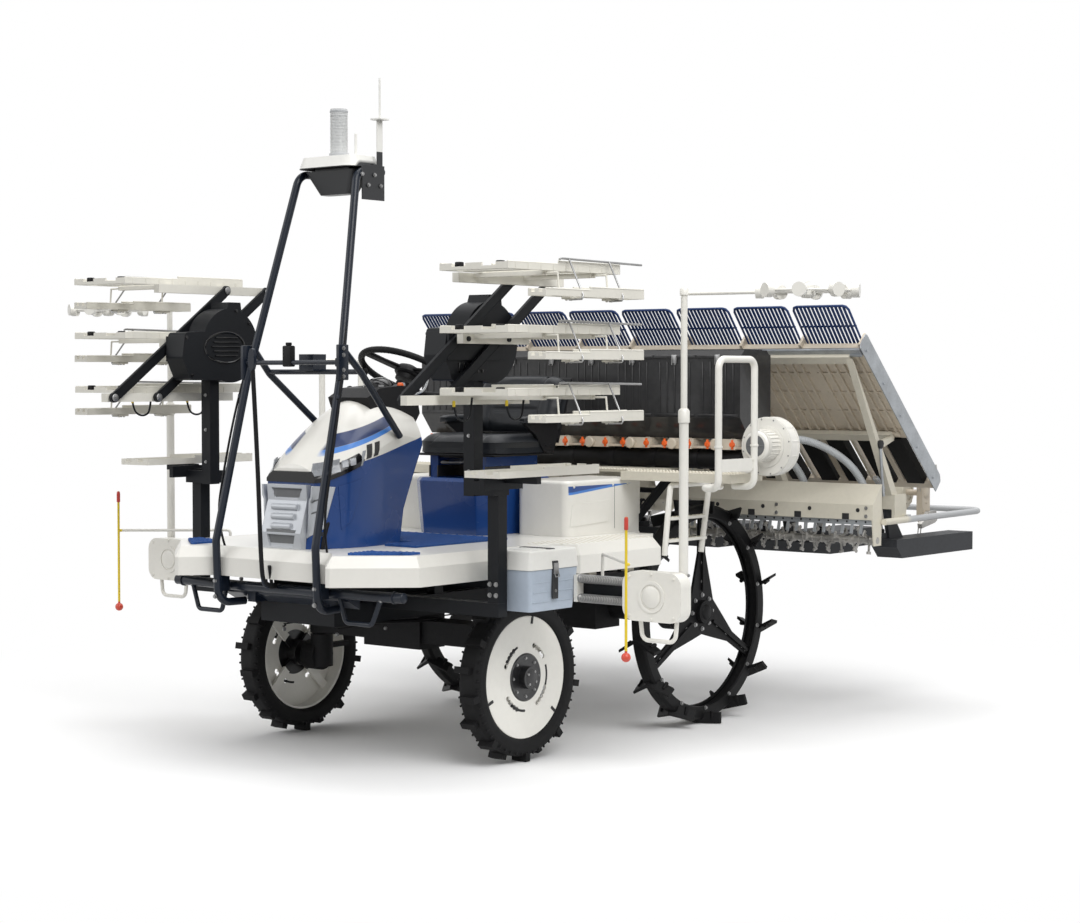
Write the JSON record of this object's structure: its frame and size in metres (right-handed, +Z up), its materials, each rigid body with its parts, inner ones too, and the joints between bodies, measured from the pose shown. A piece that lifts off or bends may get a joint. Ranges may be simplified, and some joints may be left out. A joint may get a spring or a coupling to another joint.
{
  "type": "riding rice transplanter",
  "caption": "Riding rice transplanter with a liftable planting unit, folding seedling racks, line markers, hoppers and paddle wheels.",
  "frame": {"origin": "on the ground, under the middle of the machine's length and width", "axes": "+X forward, +Y to the left, +Z up"},
  "size_m": [3.5053, 4.0536, 2.607],
  "materials": {
    "chassis_black": "satin",
    "cast_black": "matte",
    "tube_blue_black": "satin",
    "body_white": "satin",
    "body_blue": "satin",
    "mat_blue": "matte",
    "grille_silver": "metallic",
    "lamp_black": "gloss",
    "dash_black": "satin",
    "wheel_grip": "soft",
    "seat_vinyl": "satin",
    "frame_beige": "satin",
    "housing_white": "satin",
    "tower_clear": "ribbed",
    "box_grey": "satin",
    "rack_black": "satin",
    "tray_white": "satin",
    "marker_white": "satin",
    "rod_yellow": "satin",
    "hopper_smoke": "translucent",
    "meter_beige": "satin",
    "duct_black": "satin",
    "blower_white": "satin",
    "hose_grey": "corrugated",
    "tyre_black": "matte",
    "rim_white": "satin",
    "paddle_black": "matte",
    "link_steel": "satin",
    "rotor_steel": "worn",
    "claw_steel": "worn",
    "float_grey": "matte",
    "table_beige": "satin",
    "belt_black": "ribbed",
    "grille_blue": "satin"
  },
  "bodies": {
    "chassis": {"main_frame": "chassis_black", "axle_beams": "cast_black", "engine_block": "cast_black", "floor_deck": "body_white", "deck_mats": "mat_blue", "hood_sides": "body_blue", "hood_top": "body_white", "front_grille": "grille_silver", "headlamps": "lamp_black", "dashboard": "dash_black", "seat_base": "body_blue", "seat": "seat_vinyl", "side_covers": "body_white", "rear_platform": "frame_beige", "front_bumper": "tube_blue_black", "front_mast": "tube_blue_black", "receiver_housing": "housing_white", "signal_tower": "tower_clear", "toolbox": "box_grey", "rack_posts": "rack_black", "rack_fixed_trays": "tray_white", "marker_stands": "marker_white", "side_markers": "rod_yellow", "hopper_bank": "hopper_smoke", "metering_units": "meter_beige", "air_duct": "duct_black", "blower": "blower_white", "handrails": "marker_white", "air_hoses": "hose_grey"},
    "steering_wheel": {"steering_wheel": "wheel_grip"},
    "toolbox_lid": {"toolbox_lid": "housing_white"},
    "lower_links": {"lower_links": "link_steel"},
    "upper_link": {"upper_link": "link_steel"},
    "planting_unit": {"planting_frame": "frame_beige", "floats": "float_grey"},
    "table": {"seedling_table": "table_beige", "feed_belts": "belt_black", "table_grilles": "grille_blue"},
    "planting_rotors": {"planting_rotors": "meter_beige"},
    "claws_a": {"claws_a": "claw_steel"},
    "claws_b": {"claws_b": "claw_steel"},
    "levelling_rotor": {"levelling_rotor": "rotor_steel"},
    "knuckle_left": {"knuckle_left": "cast_black"},
    "front_wheel_left": {"front_tyre_left": "tyre_black", "front_wheel_left": "rim_white"},
    "rear_wheel_left": {"rear_wheel_left": "paddle_black"},
    "rack_left_rear_link": {"rack_left_rear_link": "rack_black"},
    "rack_left_front_link": {"rack_left_front_link": "rack_black"},
    "rack_left_top": {"rack_left_top": "tray_white"},
    "rack_left_low": {"rack_left_low": "tray_white"},
    "marker_arm_left": {"marker_arm_left": "marker_white"},
    "knuckle_right": {"knuckle_right": "cast_black"},
    "front_wheel_right": {"front_tyre_right": "tyre_black", "front_wheel_right": "rim_white"},
    "rear_wheel_right": {"rear_wheel_right": "paddle_black"},
    "rack_right_rear_link": {"rack_right_rear_link": "rack_black"},
    "rack_right_front_link": {"rack_right_front_link": "rack_black"},
    "rack_right_top": {"rack_right_top": "tray_white"},
    "rack_right_low": {"rack_right_low": "tray_white"},
    "marker_arm_right": {"marker_arm_right": "marker_white"}
  },
  "joints": [
    {"name": "steer_left", "type": "hinge", "parent": "chassis", "child": "knuckle_left", "pos_m": [0.897, 0.46, 0.325], "axis": [0, 0, 1], "range_deg": [-40, 40]},
    {"name": "front_spin_left", "type": "hinge", "parent": "knuckle_left", "child": "front_wheel_left", "pos_m": [0.897, 0.59, 0.325], "axis": [0, 1, 0], "continuous": true},
    {"name": "rear_spin_left", "type": "hinge", "parent": "chassis", "child": "rear_wheel_left", "pos_m": [-0.303, 0.605, 0.475], "axis": [0, 1, 0], "continuous": true},
    {"name": "rack_fold_left", "type": "hinge", "parent": "chassis", "child": "rack_left_rear_link", "pos_m": [1.213, 0.76, 1.61], "axis": [0, 1, 0], "range_deg": [0, 130]},
    {"name": "rack_front_link_left", "type": "hinge", "parent": "chassis", "child": "rack_left_front_link", "pos_m": [1.439, 0.76, 1.61], "axis": [0, 1, 0], "range_deg": [0, 130]},
    {"name": "rack_top_left", "type": "hinge", "parent": "rack_left_rear_link", "child": "rack_left_top", "pos_m": [0.91366, 0.76, 1.82748], "axis": [0, 1, 0], "range_deg": [-130, 0]},
    {"name": "rack_low_left", "type": "hinge", "parent": "rack_left_rear_link", "child": "rack_left_low", "pos_m": [1.51234, 0.76, 1.39252], "axis": [0, 1, 0], "range_deg": [-130, 0]},
    {"name": "marker_left", "type": "hinge", "parent": "chassis", "child": "marker_arm_left", "pos_m": [0.907, 1.37, 0.69], "axis": [-1, 0, 0], "range_deg": [0, 90]},
    {"name": "steer_right", "type": "hinge", "parent": "chassis", "child": "knuckle_right", "pos_m": [0.897, -0.46, 0.325], "axis": [0, 0, 1], "range_deg": [-40, 40]},
    {"name": "front_spin_right", "type": "hinge", "parent": "knuckle_right", "child": "front_wheel_right", "pos_m": [0.897, -0.59, 0.325], "axis": [0, 1, 0], "continuous": true},
    {"name": "rear_spin_right", "type": "hinge", "parent": "chassis", "child": "rear_wheel_right", "pos_m": [-0.303, -0.605, 0.475], "axis": [0, 1, 0], "continuous": true},
    {"name": "rack_fold_right", "type": "hinge", "parent": "chassis", "child": "rack_right_rear_link", "pos_m": [1.213, -0.76, 1.61], "axis": [0, 1, 0], "range_deg": [0, 130]},
    {"name": "rack_front_link_right", "type": "hinge", "parent": "chassis", "child": "rack_right_front_link", "pos_m": [1.439, -0.76, 1.61], "axis": [0, 1, 0], "range_deg": [0, 130]},
    {"name": "rack_top_right", "type": "hinge", "parent": "rack_right_rear_link", "child": "rack_right_top", "pos_m": [0.91366, -0.76, 1.82748], "axis": [0, 1, 0], "range_deg": [-130, 0]},
    {"name": "rack_low_right", "type": "hinge", "parent": "rack_right_rear_link", "child": "rack_right_low", "pos_m": [1.51234, -0.76, 1.39252], "axis": [0, 1, 0], "range_deg": [-130, 0]},
    {"name": "marker_right", "type": "hinge", "parent": "chassis", "child": "marker_arm_right", "pos_m": [0.907, -1.37, 0.69], "axis": [1, 0, 0], "range_deg": [0, 90]},
    {"name": "steering_column", "type": "hinge", "parent": "chassis", "child": "steering_wheel", "pos_m": [0.872, 0, 1.49], "axis": [-0.4695, 0, 0.8829], "range_deg": [-240, 240]},
    {"name": "toolbox_lid_hinge", "type": "hinge", "parent": "chassis", "child": "toolbox_lid", "pos_m": [1.082, 0.731, 0.767], "axis": [1, 0, 0], "range_deg": [0, 90]},
    {"name": "lift", "type": "hinge", "parent": "chassis", "child": "lower_links", "pos_m": [-0.433, 0, 0.56], "axis": [0, -1, 0], "range_deg": [0, 70], "deforming": ["air_hoses"]},
    {"name": "lift_upper", "type": "hinge", "parent": "chassis", "child": "upper_link", "pos_m": [-0.433, 0, 0.8], "axis": [0, -1, 0], "range_deg": [0, 70]},
    {"name": "unit_level", "type": "hinge", "parent": "lower_links", "child": "planting_unit", "pos_m": [-0.89172, 0, 0.8812], "axis": [0, -1, 0], "range_deg": [-70, 0]},
    {"name": "table_traverse", "type": "slide", "parent": "planting_unit", "child": "table", "axis": [0, 1, 0], "range_m": [-0.14, 0.14]},
    {"name": "planting_spin", "type": "hinge", "parent": "planting_unit", "child": "planting_rotors", "pos_m": [-1.498, 0, 0.945], "axis": [0, 1, 0], "continuous": true},
    {"name": "claws_a_level", "type": "hinge", "parent": "planting_rotors", "child": "claws_a", "pos_m": [-1.498, 0, 0.84], "axis": [0, 1, 0], "continuous": true},
    {"name": "claws_b_level", "type": "hinge", "parent": "planting_rotors", "child": "claws_b", "pos_m": [-1.498, 0, 1.05], "axis": [0, 1, 0], "continuous": true},
    {"name": "levelling_spin", "type": "hinge", "parent": "planting_unit", "child": "levelling_rotor", "pos_m": [-0.795, 0, 0.775], "axis": [0, 1, 0], "continuous": true}
  ],
  "couplings": [
    {"joint": "rack_front_link_left", "follows": "rack_fold_left", "ratio": 1},
    {"joint": "rack_top_left", "follows": "rack_fold_left", "ratio": -1},
    {"joint": "rack_low_left", "follows": "rack_fold_left", "ratio": -1},
    {"joint": "rack_front_link_right", "follows": "rack_fold_right", "ratio": 1},
    {"joint": "rack_top_right", "follows": "rack_fold_right", "ratio": -1},
    {"joint": "rack_low_right", "follows": "rack_fold_right", "ratio": -1},
    {"joint": "steer_right", "follows": "steer_left", "ratio": 1},
    {"joint": "steering_column", "follows": "steer_left", "ratio": 6},
    {"joint": "lift_upper", "follows": "lift", "ratio": 1},
    {"joint": "unit_level", "follows": "lift", "ratio": -1},
    {"joint": "claws_a_level", "follows": "planting_spin", "ratio": -1},
    {"joint": "claws_b_level", "follows": "planting_spin", "ratio": -1}
  ]
}
